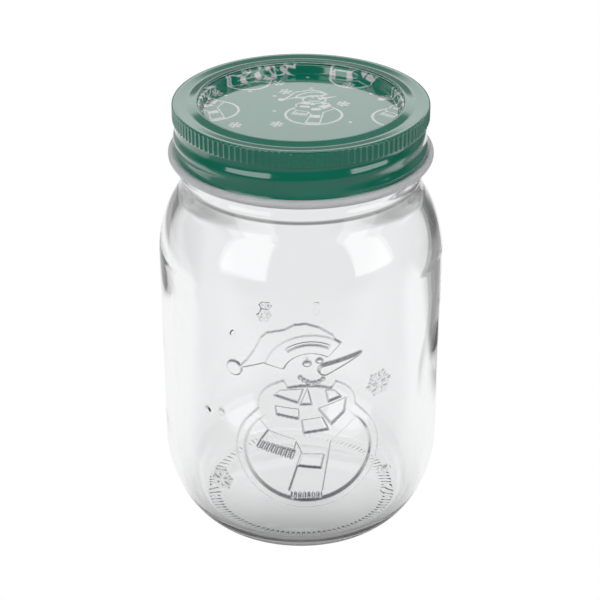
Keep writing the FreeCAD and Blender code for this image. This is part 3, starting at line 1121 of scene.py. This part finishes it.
def add_camera(stage):
    """The photograph's viewpoint."""
    camera = bpy.data.objects.new("camera", bpy.data.cameras.new("camera"))
    bpy.context.scene.collection.objects.link(camera)
    camera.location = (0.0, -stage.eye_back * MM, stage.eye_height * MM)
    aim = Vector((0.0, 0.0, stage.aim_height * MM))
    camera.rotation_euler = (aim - camera.location).to_track_quat("-Z", "Y").to_euler()
    camera.data.lens = stage.lens
    camera.data.sensor_width = 36.0
    camera.data.shift_x = stage.frame_shift
    camera.data.clip_start = 0.01
    bpy.context.scene.camera = camera


def math_node(tree, operation, *values):
    """The result of a sum on sockets or numbers."""
    return add_node(tree, "ShaderNodeMath", dict(enumerate(values)), operation=operation).outputs[0]


def ease(tree, value, low, high, start=0.0, end=1.0):
    """A smooth step from start to end as a value goes from low to high."""
    inputs = {"Value": value, "From Min": low, "From Max": high, "To Min": start, "To Max": end}
    return add_node(tree, "ShaderNodeMapRange", inputs, interpolation_type="SMOOTHSTEP").outputs["Result"]


def window(tree, value, low, high, soft):
    """1 where a value in radians lies between two limits in degrees, with soft ends."""
    low, high, soft = np.radians((low, high, soft))
    rise = ease(tree, value, low - soft, low + soft)
    fall = ease(tree, value, high - soft, high + soft, 1.0, 0.0)
    return math_node(tree, "MULTIPLY", rise, fall)


def shine(tree, light, mask, level):
    """Bring the light inside a mask to a level."""
    missing = math_node(tree, "SUBTRACT", level, light)
    return math_node(tree, "MULTIPLY_ADD", mask, missing, light)


# Where the floor's light changes, in metres: along the view, away from the jar, and at the card's two edges
FLOOR_DEPTH = (-0.035, 0.004)
FLOOR_NEAR = (0.025, 0.11)
FLOOR_FAR = (0.26, 0.42)
CARD_LEAN = -0.45
CARD_SIDE = (0.028, 0.038)
CARD_FRONT = (0.05, 0.07)

# The floor's mesh, in millimetres
FLOOR_HEIGHT = -0.05
FLOOR_STEP = 50.0
FLOOR_COLUMNS = 96

WHITE, BLACK = (1.0, 1.0, 1.0), (0.0, 0.0, 0.0)


def floor_light(tree, stage):
    """Light of the floor: most behind the jar, less in front and far away, with a dark card at the right."""
    place = add_node(tree, "ShaderNodeTexCoord").outputs["Object"]
    x, y, _ = add_node(tree, "ShaderNodeSeparateXYZ", {0: place}).outputs
    away = add_node(tree, "ShaderNodeVectorMath", {0: place}, operation="LENGTH").outputs["Value"]
    depth = ease(tree, y, *FLOOR_DEPTH, stage.floor_front, stage.floor_behind)
    near = ease(tree, away, *FLOOR_NEAR, stage.floor_under, 1.0)
    far = ease(tree, away, *FLOOR_FAR, 1.0, stage.floor_far)
    light = math_node(tree, "MULTIPLY", math_node(tree, "MULTIPLY", depth, near), far)
    beside = ease(tree, math_node(tree, "MULTIPLY_ADD", y, CARD_LEAN, x), *CARD_SIDE)
    card = math_node(tree, "MULTIPLY", beside, ease(tree, y, *CARD_FRONT))
    return shine(tree, light, card, math_node(tree, "MULTIPLY", light, stage.card))


def add_floor(stage):
    """A wide floor that looks plain white, and lights the jar unevenly."""
    pen = Outline(0.0, FLOOR_HEIGHT)
    pen.line(stage.floor_radius, FLOOR_HEIGHT, step=FLOOR_STEP)
    mesh = weave("floor", pen, FLOOR_COLUMNS)[0]
    mesh.flip_normals()
    material, tree, shader = new_material("white_floor")
    seen = add_node(tree, "ShaderNodeLightPath").outputs["Is Camera Ray"]
    light = shine(tree, floor_light(tree, stage), seen, 1.0)
    tree.links.new(light, shader.inputs["Emission Strength"])
    shader.inputs["Base Color"].default_value = opaque(BLACK)
    shader.inputs["Specular IOR Level"].default_value = 0.0
    shader.inputs["Emission Color"].default_value = opaque(WHITE)
    mesh.materials.append(material)
    floor = bpy.data.objects.new("floor", mesh)
    bpy.context.scene.collection.objects.link(floor)


def studio_lights(stage):
    """Limits of each light round from behind and above the level, with their softness, and its strength.

    Limits and softness are degrees. A later light lies over an earlier one.
    """
    return (
        ((-75, 75, 12), (-90, 50, 10), stage.backdrop),
        ((-70, 70, 8), (17, 27, 1.5), stage.strip),
        ((-153, -112, 1.5), (2, 55, 1.5), stage.softbox),
        ((101, 137, 1.5), (2, 55, 1.5), stage.softbox),
        ((-35, 35, 3), (56, 72, 2), stage.top_light),
    )


def add_studio(stage):
    """Light from all round: a wall with a strip and a lamp behind, two softboxes and a dim room."""
    world = bpy.data.worlds.new("studio")
    bpy.context.scene.world = world
    world.use_nodes = True
    tree = world.node_tree
    direction = add_node(tree, "ShaderNodeTexCoord").outputs["Generated"]
    x, y, z = add_node(tree, "ShaderNodeSeparateXYZ", {0: direction}).outputs
    around = math_node(tree, "ARCTAN2", x, y)
    above = math_node(tree, "ARCSINE", z)
    light = stage.ambient
    for round_limits, level_limits, strength in studio_lights(stage):
        beside = window(tree, around, *round_limits)
        mask = math_node(tree, "MULTIPLY", beside, window(tree, above, *level_limits))
        light = shine(tree, light, mask, strength)
    seen = add_node(tree, "ShaderNodeLightPath").outputs["Is Camera Ray"]
    background = tree.nodes["Background"]
    tree.links.new(shine(tree, light, seen, 1.0), background.inputs["Strength"])
    background.inputs["Color"].default_value = opaque(WHITE)


def set_view():
    """Plain colours, and enough bounces to see through the glass."""
    scene = bpy.context.scene
    scene.view_settings.view_transform = "Standard"
    scene.cycles.max_bounces = 32
    scene.cycles.transmission_bounces = 24
    scene.cycles.glossy_bounces = 8


# Operators, panel and registration

class GlassJarOperator(bpy.types.Operator):
    """Build the glass jar with its raised snowman"""
    bl_idname = "lidded_jar.glass_jar"
    bl_label = "Glass jar"

    def execute(self, context):
        make_jar()
        return {"FINISHED"}


class LidDiscOperator(bpy.types.Operator):
    """Build the printed lid disc"""
    bl_idname = "lidded_jar.lid_disc"
    bl_label = "Lid disc"

    def execute(self, context):
        make_disc()
        return {"FINISHED"}


class SealingRingOperator(bpy.types.Operator):
    """Build the sealing ring under the disc"""
    bl_idname = "lidded_jar.sealing_ring"
    bl_label = "Sealing ring"

    def execute(self, context):
        make_seal()
        return {"FINISHED"}


class ScrewBandOperator(bpy.types.Operator):
    """Build the knurled screw band"""
    bl_idname = "lidded_jar.screw_band"
    bl_label = "Screw band"

    def execute(self, context):
        make_band()
        return {"FINISHED"}


class StageOperator(bpy.types.Operator):
    """Set the camera, the floor and the light"""
    bl_idname = "lidded_jar.stage"
    bl_label = "Stage"

    def execute(self, context):
        stage = sizes("lidded_jar_stage")
        add_camera(stage)
        add_floor(stage)
        add_studio(stage)
        set_view()
        return {"FINISHED"}


OPERATORS = (GlassJarOperator, LidDiscOperator, SealingRingOperator, ScrewBandOperator, StageOperator)


class LiddedJarPanel(bpy.types.Panel):
    """The steps of the jar and the settings behind them"""
    bl_idname = "VIEW3D_PT_lidded_jar"
    bl_label = "Lidded jar"
    bl_space_type = "VIEW_3D"
    bl_region_type = "UI"
    bl_category = "Lidded jar"

    def draw(self, context):
        for operator in OPERATORS:
            self.layout.operator(operator.bl_idname)
        for key, group in SETTINGS.items():
            box = self.layout.box()
            box.label(text=group.__doc__)
            for name in group.__annotations__:
                box.prop(getattr(context.scene, key), name)


CLASSES = (*SETTINGS.values(), *OPERATORS, LiddedJarPanel)


def register():
    """Make the settings, operators and panel known."""
    for one in CLASSES:
        bpy.utils.register_class(one)
    for key, group in SETTINGS.items():
        setattr(bpy.types.Scene, key, PointerProperty(type=group))


def unregister():
    """Take the settings, operators and panel away again."""
    for key in SETTINGS:
        delattr(bpy.types.Scene, key)
    for one in reversed(CLASSES):
        bpy.utils.unregister_class(one)


def main():
    """Build every piece and the stage."""
    register()
    bpy.ops.lidded_jar.glass_jar()
    bpy.ops.lidded_jar.lid_disc()
    bpy.ops.lidded_jar.sealing_ring()
    bpy.ops.lidded_jar.screw_band()
    bpy.ops.lidded_jar.stage()


if __name__ == "__main__":
    main()
